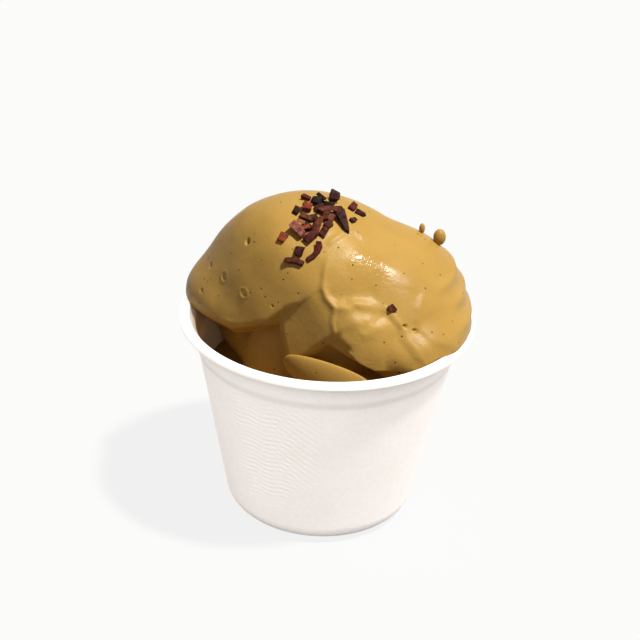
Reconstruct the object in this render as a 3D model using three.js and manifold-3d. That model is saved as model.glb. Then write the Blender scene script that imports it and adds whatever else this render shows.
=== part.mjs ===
// Sorbet in a moulded paper-pulp cup: two scoops laid in strokes over a filled cup, topped with cacao nibs.
// Millimetres, +Z up, the origin at the middle of the cup's base. The front of the serving faces -Y.
import * as THREE from "three";
import { mergeVertices } from "three/addons/utils/BufferGeometryUtils.js";
import Module from "manifold-3d";

const wasm = await Module();
wasm.setup();

// Cup
const CUP_HEIGHT = 58;
const RIM_RADIUS = 40;
const RIM_WIDTH = 2.75;
const RIM_DROP = 1.6;
const RIM_EDGE = 0.4;
const WALL = 1.0;
const WALL_RADIUS_LOW = 25.1;
const WALL_RADIUS_HIGH = 35.9;
const WALL_HIGH_Z = 54;
const BASE_CORNER = 6.2;
const LEDGE_Z = 49;
const LEDGE_STEP = 0.5;
const CUP_SIDES = 64;

// Sorbet
const CLEARANCE = 0.3;
const HEART = new THREE.Vector3(1, 1, 56);
const FILL_Z = 41;
const MESH_DETAIL = 19;
const MESH_PULL = new THREE.Vector3(0, -0.24, 0.3);
const LINE_RADIUS = 34;
const LINE_SOFTNESS = 1.5;
const KNOBS = [
  { at: [29.4, 8.4, 78.2], half: [1.7, 1.6, 2.3] },
  { at: [24.6, 10, 79.8], half: [0.8, 0.8, 1.5] },
];
const RIBBON = {
  from: [-11, -17.5, 52.5],
  bend: [-3, -25.6, 52],
  to: [13, -34.5, 54],
  halfWidth: 1.3,
  halfHeight: 4.3,
  lean: 0.4,
};

// Lines across the sorbet as azimuth and elevation about its heart.
const CREASE = [[-160, -2], [-133, 15], [-123, 27], [-113, 33], [-105, 38], [-98, 44]];
const LEFT_LIP = [[150, 7], [165, 7], [178, 7.5], [-172, 7.5], [-162, 8], [-152, 10]];
const CENTRE_RIDGE = [
  [-92, 63], [-96, 60], [-98, 52], [-97, 43], [-94, 39], [-88, 33], [-89, 25], [-86, 15], [-81, 10],
];
const LIP = [[-98, 50], [-97, 43], [-94, 39], [-88, 34], [-79, 33], [-75, 35], [-65, 33], [-56, 31]];
const GROOVE = [[-96, 39], [-84, 40], [-68, 39], [-55, 38]];
const BELLY_FOLD = [[-58, 31], [-54, 28], [-53, 24], [-50, 18], [-51, 13], [-49, 6], [-46, 2]];
const RIGHT_FOLD = [[-30, 34], [-32, 30], [-39, 25], [-42, 20], [-42, 15], [-40, 10], [-34, 8]];
const RIGHT_STEPS = [
  [[-28, 27], [-5, 26], [20, 27], [45, 25]],
  [[-24, 18], [-5, 17], [20, 17], [40, 16]],
  [[-30, 9], [-12, 9], [10, 9], [35, 8]],
];

// Cacao nibs, largest first, then the low ones under the heap:
// x, y, length, width, turn in the front view, lift above the sorbet, bend in degrees.
const NIB_RISE = 0.3;
const NIB_SEAT = 0.5;
const NIB_JITTER = 0.1;
const NIB_TAPER = 0.55;
const NIB_LEAN = 0.45;
const NIB_SEED = 11;
const NIBS = [
  [2.9, -4, 7.2, 2.7, -76, 1, 10],
  [-0.6, -0.8, 6.8, 2, 4, 1.6, 80],
  [-3.9, -12.3, 6.8, 1.8, 62, 0.5, -85],
  [-3.7, -6.8, 6, 2.4, 76, 1.5, 0],
  [-9.1, -13.7, 5.3, 2, -8, 0.6, 45],
  [-8.6, -7.9, 5, 2.4, -45, 1.2, 10],
  [-5.2, -9.1, 4.5, 2.4, 47, 0.9, 0],
  [-7.3, -7.5, 3.8, 1.4, 15, 1.3, 15],
  [-6.8, -4.3, 3.8, 1.8, -25, 1.2, 0],
  [-4.1, 2.1, 3.6, 2.7, -10, 1.2, 0],
  [0.3, 6.2, 3.3, 2.9, 80, 1.6, 0],
  [-3.1, 3.6, 3.3, 1.2, -55, 2.2, 0],
  [7.5, 2.7, 3.2, 1.5, -20, 0.6, 0],
  [-1.9, -3.2, 3.1, 2, 70, 1.2, 0],
  [-6.6, -0.6, 3, 2.4, -15, 1.4, 0],
  [-12.4, -9.3, 3, 2.2, 60, 0.6, 0],
  [-7, 4.2, 2.8, 1.5, -20, 1, 0],
  [-8, -12.2, 2.8, 2.7, 80, 0.6, 0],
  [-9.3, -1.8, 2.7, 2.1, 62, 0.8, 0],
  [-0.3, -3.4, 2.7, 2, 62, 1, 0],
  [-0.6, -5.5, 2.7, 2.1, 40, 0.7, 0],
  [5.4, 4.6, 2.6, 2.4, 50, 0.8, 0],
  [-7.8, -6, 2.4, 1.1, -25, 1.5, 0],
  [16.6, -19.2, 2.2, 2.1, 30, 0.4, 0],
  [5.6, -1.5, 2, 1.6, 40, 0.5, 0],
  [-5, -4.3, 3.2, 2.6, 30, 0.4, 0],
  [-2, -7.9, 3, 2.2, 60, 0.4, 0],
  [-6.4, -7.1, 3.2, 2.4, -30, 0.4, 0],
  [-3.4, -0.5, 3.4, 2.6, 10, 0.5, 0],
  [-1.2, 1.9, 3.2, 2.4, -40, 0.6, 0],
  [1.4, 1.1, 3, 2.2, 30, 0.5, 0],
];
const VIEW_BACK = new THREE.Vector3(0, -0.88, 0.47);
const VIEW_RISE = new THREE.Vector3(0, 0.47, 0.88);

// A closed solid from a geometry whose doubled vertices are merged first.
function solidOf(geometry) {
  const plain = geometry.clone();
  plain.deleteAttribute("normal");
  plain.deleteAttribute("uv");
  const merged = mergeVertices(plain, 1e-4);
  const corners = merged.index.array;
  const kept = [];
  for (let i = 0; i < corners.length; i += 3) {
    const [a, b, c] = [corners[i], corners[i + 1], corners[i + 2]];
    if (a !== b && b !== c && c !== a) kept.push(a, b, c);
  }
  return new wasm.Manifold(
    new wasm.Mesh({
      numProp: 3,
      vertProperties: merged.attributes.position.array,
      triVerts: new Uint32Array(kept),
    }),
  );
}

function meshOf(solid, name, material) {
  const made = solid.getMesh();
  const geometry = new THREE.BufferGeometry();
  geometry.setAttribute("position", new THREE.BufferAttribute(made.vertProperties, 3));
  geometry.setIndex(new THREE.BufferAttribute(made.triVerts, 1));
  geometry.computeVertexNormals();
  const mesh = new THREE.Mesh(geometry, material);
  mesh.name = name;
  return mesh;
}

// A profile of radius and height pairs turned about the cup's upright axis.
function turned(profile) {
  const points = profile.map(([radius, height]) => new THREE.Vector2(radius, height));
  return solidOf(new THREE.LatheGeometry(points, CUP_SIDES).rotateX(Math.PI / 2));
}

// The outer wall's radius at a height, without the ledge.
function wallRadius(z) {
  return WALL_RADIUS_LOW + ((WALL_RADIUS_HIGH - WALL_RADIUS_LOW) * z) / WALL_HIGH_Z;
}

// The inside of the cup from the middle of its floor to the inner edge of its rim, set in by a gap.
function innerProfile(gap) {
  const floor = WALL + gap;
  const inset = WALL + gap;
  const shoulder = CUP_HEIGHT - 2.4;
  const rimInner = RIM_RADIUS - RIM_WIDTH - gap;
  return [
    [0, floor],
    [wallRadius(0) - BASE_CORNER + 0.6, floor],
    [wallRadius(2) - inset - 1.9, floor + 0.9],
    [wallRadius(5) - inset - 0.4, floor + 3.4],
    [wallRadius(9) - inset, 9],
    [wallRadius(LEDGE_Z - 0.6) - inset, LEDGE_Z - 0.6],
    [wallRadius(LEDGE_Z + 0.4) - inset + LEDGE_STEP, LEDGE_Z + 0.4],
    [wallRadius(shoulder) - inset + LEDGE_STEP, shoulder],
    [rimInner - 0.45, CUP_HEIGHT - 0.75 + gap / 2],
    [rimInner, CUP_HEIGHT - 0.15 + gap],
  ];
}

function makeCup() {
  const lipLow = CUP_HEIGHT - RIM_DROP;
  const outer = [
    [0, 0],
    [wallRadius(0) - BASE_CORNER, 0],
    [wallRadius(0) - BASE_CORNER * 0.5, 0.75],
    [wallRadius(2) - 1.1, 2.5],
    [wallRadius(BASE_CORNER), BASE_CORNER],
    [wallRadius(LEDGE_Z - 0.5), LEDGE_Z - 0.5],
    [wallRadius(LEDGE_Z + 0.3) + LEDGE_STEP, LEDGE_Z + 0.3],
    [wallRadius(WALL_HIGH_Z) + LEDGE_STEP, WALL_HIGH_Z],
    [wallRadius(WALL_HIGH_Z) + 1.2, lipLow - 0.7],
    [RIM_RADIUS - 2.0, lipLow],
    [RIM_RADIUS - 0.4, lipLow],
    [RIM_RADIUS, lipLow + 0.4],
    [RIM_RADIUS, CUP_HEIGHT - RIM_EDGE],
    [RIM_RADIUS - RIM_EDGE, CUP_HEIGHT],
    [RIM_RADIUS - RIM_WIDTH + 0.35, CUP_HEIGHT],
  ];
  return turned([...outer, ...innerProfile(0).reverse()]);
}

// All the space the cup and its surroundings take up, so that the sorbet stays clear of it.
function makeCupSpace() {
  const far = RIM_RADIUS + 20;
  return turned([
    [0, -5],
    [far, -5],
    [far, CUP_HEIGHT + CLEARANCE],
    [RIM_RADIUS - RIM_WIDTH + 0.2, CUP_HEIGHT + CLEARANCE],
    ...innerProfile(CLEARANCE).reverse(),
  ]);
}

function smoothMax(a, b, blend) {
  const near = Math.max(blend - Math.abs(a - b), 0) / blend;
  return Math.max(a, b) + (near * near * blend) / 4;
}

function smoothMin(a, b, blend) {
  return -smoothMax(-a, -b, blend);
}

// The distance from the heart along a direction to the far side of a turned ellipsoid, none if missed.
function ellipsoidExit(direction, centre, half, turn) {
  const axis = new THREE.Vector3(0, 0, 1);
  const size = new THREE.Vector3(...half);
  const angle = THREE.MathUtils.degToRad(-turn);
  const from = HEART.clone().sub(new THREE.Vector3(...centre)).applyAxisAngle(axis, angle).divide(size);
  const along = direction.clone().applyAxisAngle(axis, angle).divide(size);
  const a = along.dot(along);
  const b = along.dot(from);
  const c = from.dot(from) - 1;
  const crossing = b * b - a * c;
  return crossing > 0 ? (-b + Math.sqrt(crossing)) / a : 0;
}

// The distance from the heart along a direction to a plane, far away where the two never meet.
function planeExit(direction, normal, point) {
  const unit = new THREE.Vector3(...normal).normalize();
  const offset = unit.dot(new THREE.Vector3(...point).sub(HEART));
  const slope = unit.dot(direction);
  return slope > 1e-4 ? offset / slope : 1e4;
}

// One spade stroke: a rounded mass with flat sides where the spade left it.
function stroke(direction, centre, half, turn, cuts, blend) {
  let reach = ellipsoidExit(direction, centre, half, turn);
  for (const [normal, point] of cuts) {
    reach = smoothMin(reach, planeExit(direction, normal, point), blend);
  }
  return reach;
}

function directionAt([azimuth, elevation]) {
  const a = THREE.MathUtils.degToRad(azimuth);
  const e = THREE.MathUtils.degToRad(elevation);
  return new THREE.Vector3(Math.cos(e) * Math.cos(a), Math.cos(e) * Math.sin(a), Math.sin(e));
}

// How far to the left of a line a direction lies, in millimetres, and how far along the line from 0 to 1.
// Near a bend the way along the line is shared between the stretches on both sides of it.
function besideLine(direction, line) {
  const posts = line.map(directionAt);
  const spans = posts.slice(1).map((post, i) => post.angleTo(posts[i]));
  const total = spans.reduce((sum, span) => sum + span, 0);
  let run = 0;
  const stretches = spans.map((span, i) => {
    const pole = posts[i].clone().cross(posts[i + 1]).normalize();
    const ahead = pole.clone().cross(posts[i]);
    const angle = Math.atan2(direction.dot(ahead), direction.dot(posts[i]));
    const share = THREE.MathUtils.clamp(angle, 0, span);
    const near = posts[i].clone().multiplyScalar(Math.cos(share)).addScaledVector(ahead, Math.sin(share));
    const side = direction.dot(pole) >= 0 ? 1 : -1;
    const along = (run + share) / total;
    run += span;
    return { distance: direction.angleTo(near) * LINE_RADIUS, side, along };
  });
  const nearest = stretches.reduce((best, stretch) => (stretch.distance < best.distance ? stretch : best));
  let weight = 0;
  let along = 0;
  for (const stretch of stretches) {
    const pull = Math.exp((nearest.distance - stretch.distance) / LINE_SOFTNESS);
    weight += pull;
    along += pull * stretch.along;
  }
  return { aside: nearest.distance * nearest.side, along: along / weight };
}

function fade(along, start, end) {
  const rise = start ? THREE.MathUtils.smoothstep(along, 0, start) : 1;
  const fall = end ? THREE.MathUtils.smoothstep(1 - along, 0, end) : 1;
  return rise * fall;
}

// A raised line of sorbet.
function ridge(direction, line, height, width, start, end) {
  const { aside, along } = besideLine(direction, line);
  return height * Math.exp(-((aside / width) ** 2)) * fade(along, start, end);
}

// The surface drops to the right of a line and comes back over a distance.
function drop(direction, line, atStart, atEnd, back, blend, start, end) {
  const { aside, along } = besideLine(direction, line);
  const depth = atStart + (atEnd - atStart) * along;
  const gate = 1 / (1 + Math.exp(aside / (blend * 0.5)));
  return depth * gate * Math.exp(-Math.max(-aside, 0) / back) * fade(along, start, end);
}

// The sorbet's reach from its heart along a direction.
function sorbetReach(direction) {
  const elevation = THREE.MathUtils.radToDeg(Math.asin(direction.z));
  let leftScoop = stroke(direction, [-6, 5, 53], [31.9, 30, 36.5], 0, [
    [[-0.79, -0.61, 0.06], [-29, -8.5, 62]],
    [[-0.46, -0.46, -0.76], [-30, -8.5, 59.2]],
  ], 1.5);
  leftScoop = smoothMin(leftScoop, planeExit(direction, [-0.8, -0.48, 0.36], [-26.5, -9.3, 68]), 8);
  leftScoop = smoothMin(leftScoop, planeExit(direction, [-0.33, -0.93, 0.15], [-13, -17, 67.5]), 8);
  leftScoop = smoothMin(leftScoop, planeExit(direction, [0.05, -0.75, 0.66], [3, -11.9, 81.8]), 2);
  leftScoop -= drop(direction, CREASE, 12, 0.8, 60, 0.8, 0, 0.1);
  const underLeft = stroke(direction, [-8.2, -2, 45], [14, 14, 19], 0, [], 1);
  const undersides = [
    [[-0.45, -0.25, -0.86], [8, -25.5, 57.5]],
    [[0, -0.3, -0.95], [14, -26.5, 55]],
  ];
  let rightScoop = stroke(direction, [6.5, 3, 53.6], [33.3, 29.5, 29.4], -20, undersides, 1.5);
  rightScoop = smoothMin(rightScoop, planeExit(direction, [0.1, -0.78, 0.62], [10.6, -15, 77]), 2);
  rightScoop -= drop(direction, CENTRE_RIDGE, 1.5, 6, 60, 1.2, 0.3, 0);
  const shoulder = stroke(direction, [16, 5, 61], [20.5, 20, 19.9], 0, [], 1);
  const rightLip = stroke(direction, [22, -4, 57], [16.3, 23, 12], 0, [
    [[0.3, -0.3, -0.9], [34, -14, 52.5]],
    [[0.6, -0.8, 0], [29, -24, 58]],
  ], 1.5);
  const belly = stroke(direction, [6.7, -2, 58], [23.4, 24.2, 22], 0, [
    [[0.25, -0.25, 0.93], [4, -21.5, 70.3]],
    [[-0.52, -0.83, 0.17], [-11.6, -13.1, 67]],
    ...undersides,
  ], 2);
  let middle = stroke(direction, [0, -2, 56], [28, 26, 24], 0, [
    [[-0.52, -0.83, 0.17], [-11.6, -14.9, 67]],
    [[-0.97, -0.1, -0.21], [-12.8, -15.3, 63.4]],
    [[-0.62, -0.1, -0.78], [-9.2, -20, 52.2]],
    [[-0.105, -0.845, 0.525], [-1.1, -19, 74]],
  ], 2.6);
  middle = smoothMin(middle, planeExit(direction, [0.35, -0.73, -0.58], [-5, -21.5, 56]), 3);
  const lower = stroke(direction, [8, -3, 38], [27, 32, 15], 0, [], 1);
  const rear = stroke(direction, [4, 14, 47], [34, 27, 12], 0, [], 1);
  const topBlend = 2 + 5 * THREE.MathUtils.clamp((elevation - 30) / 30, 0, 1);
  let reach = smoothMax(leftScoop, rightScoop, topBlend);
  reach = smoothMax(reach, middle, 1.2);
  reach = smoothMax(reach, underLeft, 1);
  reach = smoothMax(reach, shoulder, 3);
  reach = smoothMax(reach, rightLip, 2);
  reach = smoothMax(reach, belly, 1.6);
  reach = smoothMax(reach, lower, 1);
  reach = smoothMax(reach, rear, 3);
  reach += ridge(direction, LEFT_LIP, 2.4, 5.5, 0.3, 0.4);
  reach += ridge(direction, CENTRE_RIDGE, 0.35, 1.2, 0.2, 0.2);
  reach += ridge(direction, LIP, 0.55, 1.6, 0.3, 0.35);
  reach -= ridge(direction, GROOVE, 0.3, 2.4, 0.2, 0.2);
  reach += ridge(direction, BELLY_FOLD, 0.4, 1.2, 0.2, 0.2);
  reach -= drop(direction, BELLY_FOLD, 0.4, 2, 5, 1.8, 0.2, 0.2);
  reach += ridge(direction, RIGHT_FOLD, 0.25, 1.2, 0.2, 0.2);
  reach -= drop(direction, RIGHT_FOLD, 0.4, 1, 6, 1.6, 0.2, 0.2);
  for (const step of RIGHT_STEPS) reach += ridge(direction, step, 0.6, 1.4, 0.2, 0.2);
  return reach;
}

// The point of the sorbet's upper surface above a place in plan, found by halving.
function surfaceAt(x, y) {
  const offset = new THREE.Vector3(x, y, HEART.z).sub(HEART);
  let low = 0;
  let high = 45;
  for (let i = 0; i < 24; i++) {
    const middle = (low + high) / 2;
    const place = offset.clone().setZ(middle);
    const inside = place.length() < sorbetReach(place.clone().normalize());
    if (inside) low = middle;
    else high = middle;
  }
  return new THREE.Vector3(x, y, HEART.z + low);
}

function surfaceNormal(x, y) {
  const reach = 0.8;
  const across = surfaceAt(x + reach, y).sub(surfaceAt(x - reach, y));
  const inward = surfaceAt(x, y + reach).sub(surfaceAt(x, y - reach));
  return across.cross(inward).normalize();
}

function seededRandom(seed) {
  let state = seed;
  return () => {
    state = (state * 16807) % 2147483647;
    return state / 2147483647;
  };
}

// Bows a chip's points round an upright axis beside it and brings it back to its middle.
function bow(points, length, bend) {
  const radius = length / THREE.MathUtils.degToRad(bend);
  for (const point of points) {
    const angle = point.x / radius;
    const out = radius + point.y;
    point.set(out * Math.sin(angle), out * Math.cos(angle) - radius, point.z);
  }
  const sides = points.map((point) => point.y);
  const middle = (Math.max(...sides) + Math.min(...sides)) / 2;
  for (const point of points) point.y -= middle;
}

// One nib: a chip with tapered ends and broken corners, leaning to the front, some of them bowed.
function makeNib([x, y, length, width, turn, lift, bend], random) {
  const top = lift + width * NIB_RISE;
  const height = top + NIB_SEAT;
  const chip = new THREE.BoxGeometry(1, 1, 1, 2, 1, 1);
  chip.deleteAttribute("normal");
  chip.deleteAttribute("uv");
  const merged = mergeVertices(chip, 1e-4);
  const place = merged.attributes.position;
  const ends = [0, 1].map(() => NIB_TAPER + (1 - NIB_TAPER) * random());
  const shift = () => (random() - 0.5) * 2 * NIB_JITTER;
  const points = [];
  for (let i = 0; i < place.count; i++) {
    const point = new THREE.Vector3().fromBufferAttribute(place, i);
    const narrow = point.x > 0 ? ends[0] : ends[1];
    point.y *= point.x ? narrow : 1;
    point.set((point.x + shift()) * length, (point.y + shift()) * width, point.z * height + shift() * width);
    point.z += top - height / 2;
    points.push(point);
  }
  if (bend) bow(points, length, bend);
  points.forEach((point, i) => place.setXYZ(i, point.x, point.y, point.z));
  const normal = surfaceNormal(x, y).multiplyScalar(1 - NIB_LEAN).addScaledVector(VIEW_BACK, NIB_LEAN);
  normal.normalize();
  const angle = THREE.MathUtils.degToRad(turn);
  const heading = new THREE.Vector3(Math.cos(angle), 0, 0).addScaledVector(VIEW_RISE, Math.sin(angle));
  heading.addScaledVector(normal, -heading.dot(normal)).normalize();
  const sideways = normal.clone().cross(heading);
  const frame = new THREE.Matrix4().makeBasis(heading, sideways, normal);
  frame.setPosition(surfaceAt(x, y));
  return solidOf(merged.applyMatrix4(frame));
}

// A small knob of sorbet where the spade was pulled away.
function makeKnob({ at, half }) {
  return solidOf(new THREE.IcosahedronGeometry(1, 1).scale(...half).translate(...at));
}

// A thin fold that sweeps along the front of the hollow, tapers at both ends and leans back to the right.
function makeRibbon({ from, bend, to, halfWidth, halfHeight, lean }) {
  const path = new THREE.QuadraticBezierCurve3(
    new THREE.Vector3(...from),
    new THREE.Vector3(...bend),
    new THREE.Vector3(...to),
  );
  const ball = new THREE.SphereGeometry(1, 12, 18);
  const place = ball.attributes.position;
  for (let i = 0; i < place.count; i++) {
    const share = (place.getY(i) + 1) / 2;
    const ahead = path.getTangent(share);
    const aside = new THREE.Vector3(ahead.y, -ahead.x, 0).normalize();
    const rise = place.getZ(i) * halfHeight;
    const point = path.getPoint(share).addScaledVector(aside, place.getX(i) * halfWidth - lean * share * rise);
    place.setXYZ(i, point.x, point.y, point.z + rise);
  }
  return solidOf(ball);
}

function makeSorbet() {
  const skin = new THREE.IcosahedronGeometry(1, MESH_DETAIL);
  const place = skin.attributes.position;
  const direction = new THREE.Vector3();
  for (let i = 0; i < place.count; i++) {
    direction.fromBufferAttribute(place, i).normalize().add(MESH_PULL).normalize();
    const point = direction.clone().multiplyScalar(sorbetReach(direction)).add(HEART);
    place.setXYZ(i, point.x, point.y, point.z);
  }
  const fill = turned([[0, WALL], [RIM_RADIUS, WALL], [RIM_RADIUS, FILL_Z], [0, FILL_Z]]);
  let sorbet = solidOf(skin).add(makeRibbon(RIBBON)).add(fill).subtract(makeCupSpace());
  for (const knob of KNOBS) sorbet = sorbet.add(makeKnob(knob));
  const random = seededRandom(NIB_SEED);
  for (const nib of NIBS) sorbet = sorbet.add(makeNib(nib, random));
  return sorbet;
}

const pulp = new THREE.MeshStandardMaterial({ color: 0xf0ebe4, roughness: 0.75, metalness: 0 });
const sorbetCream = new THREE.MeshStandardMaterial({ color: 0xc49a55, roughness: 0.35, metalness: 0 });

const serving = new THREE.Group();
serving.name = "sorbet_cup";
serving.add(meshOf(makeCup(), "cup", pulp));
serving.add(meshOf(makeSorbet(), "sorbet", sorbetCream));

export default serving;
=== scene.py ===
import math
import bpy
import numpy as np
from mathutils import Matrix, Vector, noise


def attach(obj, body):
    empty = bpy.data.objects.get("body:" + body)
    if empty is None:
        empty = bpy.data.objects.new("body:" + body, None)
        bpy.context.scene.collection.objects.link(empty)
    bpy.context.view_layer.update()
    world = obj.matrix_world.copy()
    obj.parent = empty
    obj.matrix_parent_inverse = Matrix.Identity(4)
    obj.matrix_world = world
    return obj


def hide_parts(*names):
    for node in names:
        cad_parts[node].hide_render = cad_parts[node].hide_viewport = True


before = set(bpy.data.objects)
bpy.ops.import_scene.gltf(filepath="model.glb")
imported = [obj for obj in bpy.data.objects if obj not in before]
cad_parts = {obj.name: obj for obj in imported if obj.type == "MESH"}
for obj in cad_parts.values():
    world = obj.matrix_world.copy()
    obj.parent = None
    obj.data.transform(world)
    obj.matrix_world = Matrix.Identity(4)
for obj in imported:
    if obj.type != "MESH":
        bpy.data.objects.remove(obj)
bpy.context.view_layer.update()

# Cup: pressed from wet plant-fibre pulp in a wire-mesh mould, so it is matt white with a faint warm cast.
# A flat flanged rim turns down at its edge, a stacking ledge runs below it, and the mould's mesh has left
# faint wavy marks on the left of the front wall.
MM = 0.001
CUP_HEIGHT = 58.0
RIM_RADIUS = 40.0
RIM_ROUND = (RIM_RADIUS - 2.05, CUP_HEIGHT - 0.95)
RIM_ROUND_RADIUS = 0.95
RIM_FOOT = (36.75, 56.3)
RIM_UNDERSIDE = ((0.8, 56.36), (0.4, 56.4))
RIM_CREASE = ((0.55, 57.8), (0.64, 57.9), (0.76, 57.99), (1.1, 58.0))
EDGE_LOW = 56.75
EDGE_LOW_ROUND = 0.35
EDGE_HIGH = 57.45
EDGE_HIGH_ROUND = 0.30
NECK_ROUND = 1.95
WALL_LOW = 25.13
WALL_SLOPE = 0.19963
WALL_THICK = 1.0
WALL_TOP = 54.0
BASE_FLAT = 10.0
BASE_CORNER = 6.2
CORNER_TOP = 5.4
LEDGE_HEIGHT = 49.0
LEDGE_STEP = 0.5
LEDGE_HALF = 1.5
LEDGE_FADE = ((-0.9, 0.05), (-0.3, 0.18), (0.3, 0.32), (0.9, 0.45))
INNER_LEDGE_HALF = 0.5
INNER_LOW = 7.0
CUP_STEPS = 360
WALL_ROWS = 130
SKIN_DEPTH = 0.4
MARKED_WALL = (7.0, 47.6)
MEAN_RADIUS = 32
WAVE_DEPTH = 0.065
WAVE_PITCH = 1.5
WAVE_SWING = 0.35
WAVE_LENGTH = 8.5
WAVE_TURNS = (-140, -102)
WAVE_HEIGHTS = (12, 46)
SLANT_DEPTH = 0.055
SLANT_PITCH = 1.6
SLANT_WAY = (0.6, 0.8)
SLANT_TURNS = (-112, -93)
SLANT_HEIGHTS = (20, 47)
INNER_BROWN_SPAN = (7.0, 57.2)
INNER_BROWN_HEIGHT = 56.2
INNER_BROWN_SOFT = 0.25
INNER_BROWN_WAVES = ((0.6, 5, 0), (0.4, 13, 1))
PULP_WHITE = (0.87, 0.855, 0.84)
PULP_CLOUD = (0.97, 0.955, 0.95)
INNER_BROWN_COLOUR = (0.60, 0.42, 0.24)
FIBRE_GRAIN = (900, 6, 0.62)
CLOUD_GRAIN = (70, 3, 0.5)
FIBRE_BUMP = (0.25, 0.00012)


def wall_radius(z):
    return WALL_LOW + WALL_SLOPE * z


def arc_points(centre, radius, start, stop, steps):
    turns = np.radians(np.linspace(start, stop, steps))
    return [(centre[0] + radius * math.cos(t), centre[1] + radius * math.sin(t)) for t in turns]


def wall_points(low, high, rows, shift):
    return [(wall_radius(z) + shift, z) for z in np.linspace(low, high, rows)]


def corner_points(radius, floor, shift):
    slope = math.atan(WALL_SLOPE)
    centre = WALL_LOW + shift + WALL_SLOPE * floor - radius * (1 - math.sin(slope)) / math.cos(slope)
    return arc_points((centre, floor + radius), radius, -90, -math.degrees(slope), 9)


def cup_profile():
    outer = [(0.0, 0.0), (BASE_FLAT, 0.0)]
    outer += corner_points(BASE_CORNER, 0.0, 0.0)
    outer += wall_points(CORNER_TOP, LEDGE_HEIGHT - LEDGE_HALF, WALL_ROWS, 0.0)
    for rise, step in LEDGE_FADE:
        outer += [(wall_radius(LEDGE_HEIGHT + rise) + step, LEDGE_HEIGHT + rise)]
    outer += wall_points(LEDGE_HEIGHT + LEDGE_HALF, WALL_TOP, 14, LEDGE_STEP)
    neck = (wall_radius(WALL_TOP + 0.6) + LEDGE_STEP + 1.9, WALL_TOP + 0.4)
    outer += arc_points(neck, NECK_ROUND, 172, 102, 7)
    outer += [(RIM_RADIUS - inward, z) for inward, z in RIM_UNDERSIDE]
    outer += arc_points((RIM_RADIUS - EDGE_LOW_ROUND, EDGE_LOW), EDGE_LOW_ROUND, -70, 0, 4)
    outer += arc_points((RIM_RADIUS - EDGE_HIGH_ROUND, EDGE_HIGH), EDGE_HIGH_ROUND, 0, 80, 4)
    outer += [(RIM_RADIUS - inward, z) for inward, z in RIM_CREASE]
    inner = arc_points(RIM_ROUND, RIM_ROUND_RADIUS, 90, 165, 6)
    inner += [RIM_FOOT]
    inner += wall_points(WALL_TOP + 1.2, LEDGE_HEIGHT + INNER_LEDGE_HALF, 8, LEDGE_STEP - WALL_THICK)
    inner += wall_points(LEDGE_HEIGHT - INNER_LEDGE_HALF, INNER_LOW, 30, -WALL_THICK)
    inner += corner_points(BASE_CORNER - WALL_THICK, WALL_THICK, -WALL_THICK)[::-1]
    inner += [(BASE_FLAT, WALL_THICK), (0.0, WALL_THICK)]
    return outer + inner


def fresh_mesh(name):
    bpy.ops.object.select_all(action="DESELECT")
    bpy.ops.mesh.primitive_plane_add(size=1, location=(0, 0, 0))
    piece = bpy.context.object
    piece.name = name
    piece.data.name = name
    return piece


def turn_profile(name, profile, steps):
    piece = fresh_mesh(name)
    bpy.ops.object.mode_set(mode="EDIT")
    bpy.ops.mesh.select_all(action="SELECT")
    bpy.ops.mesh.merge(type="CENTER")
    bpy.ops.transform.translate(value=(profile[0][0] * MM, 0, profile[0][1] * MM))
    for (r0, z0), (r1, z1) in zip(profile, profile[1:]):
        move = ((r1 - r0) * MM, 0, (z1 - z0) * MM)
        bpy.ops.mesh.extrude_region_move(TRANSFORM_OT_translate={"value": move})
    bpy.ops.mesh.select_all(action="SELECT")
    bpy.ops.mesh.spin(steps=steps, angle=math.tau, center=(0, 0, 0), axis=(0, 0, 1))
    bpy.ops.mesh.select_all(action="SELECT")
    bpy.ops.mesh.remove_doubles(threshold=1e-6)
    bpy.ops.mesh.normals_make_consistent(inside=False)
    bpy.ops.object.mode_set(mode="OBJECT")
    return piece


def get_coordinates(piece):
    points = np.empty(len(piece.data.vertices) * 3)
    piece.data.vertices.foreach_get("co", points)
    return points.reshape(-1, 3)


def get_points(piece):
    return get_coordinates(piece) / MM


def set_points(piece, points):
    piece.data.vertices.foreach_set("co", (points * MM).ravel())
    piece.data.update()


def smooth_band(value, low, high, soft):
    return 1 / (1 + np.exp(-(value - low) / soft)) / (1 + np.exp((value - high) / soft))


cup = turn_profile("moulded_cup", cup_profile(), CUP_STEPS)
cup_points = get_points(cup)
cup_turn = np.degrees(np.arctan2(cup_points[:, 1], cup_points[:, 0]))
cup_reach = np.hypot(cup_points[:, 0], cup_points[:, 1])
cup_z = cup_points[:, 2]
outside = cup_reach > wall_radius(cup_z) - SKIN_DEPTH
on_wall = outside & (cup_z > MARKED_WALL[0]) & (cup_z < MARKED_WALL[1])
around = np.radians(cup_turn) * MEAN_RADIUS
swing = WAVE_SWING * np.sin(math.tau * around / WAVE_LENGTH)
wavy = np.sin(math.tau * (cup_z + swing) / WAVE_PITCH)
slanted = np.sin(math.tau * (around * SLANT_WAY[0] + cup_z * SLANT_WAY[1]) / SLANT_PITCH)
wave_mask = smooth_band(cup_turn, *WAVE_TURNS, 4) * smooth_band(cup_z, *WAVE_HEIGHTS, 1.5)
# The wavy marks come and go in patches.
wave_mask *= 0.6 + 0.4 * np.sin(around / 2.3 + cup_z / 3.1) * np.sin(around / 1.4 - cup_z / 2.2)
slant_mask = smooth_band(cup_turn, *SLANT_TURNS, 2.5) * smooth_band(cup_z, *SLANT_HEIGHTS, 2)
relief = on_wall * (WAVE_DEPTH * wave_mask * wavy + SLANT_DEPTH * slant_mask * slanted)
cup_points[:, :2] *= (1 + relief / np.maximum(cup_reach, 1))[:, None]
set_points(cup, cup_points)
bpy.ops.object.shade_smooth()
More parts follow.
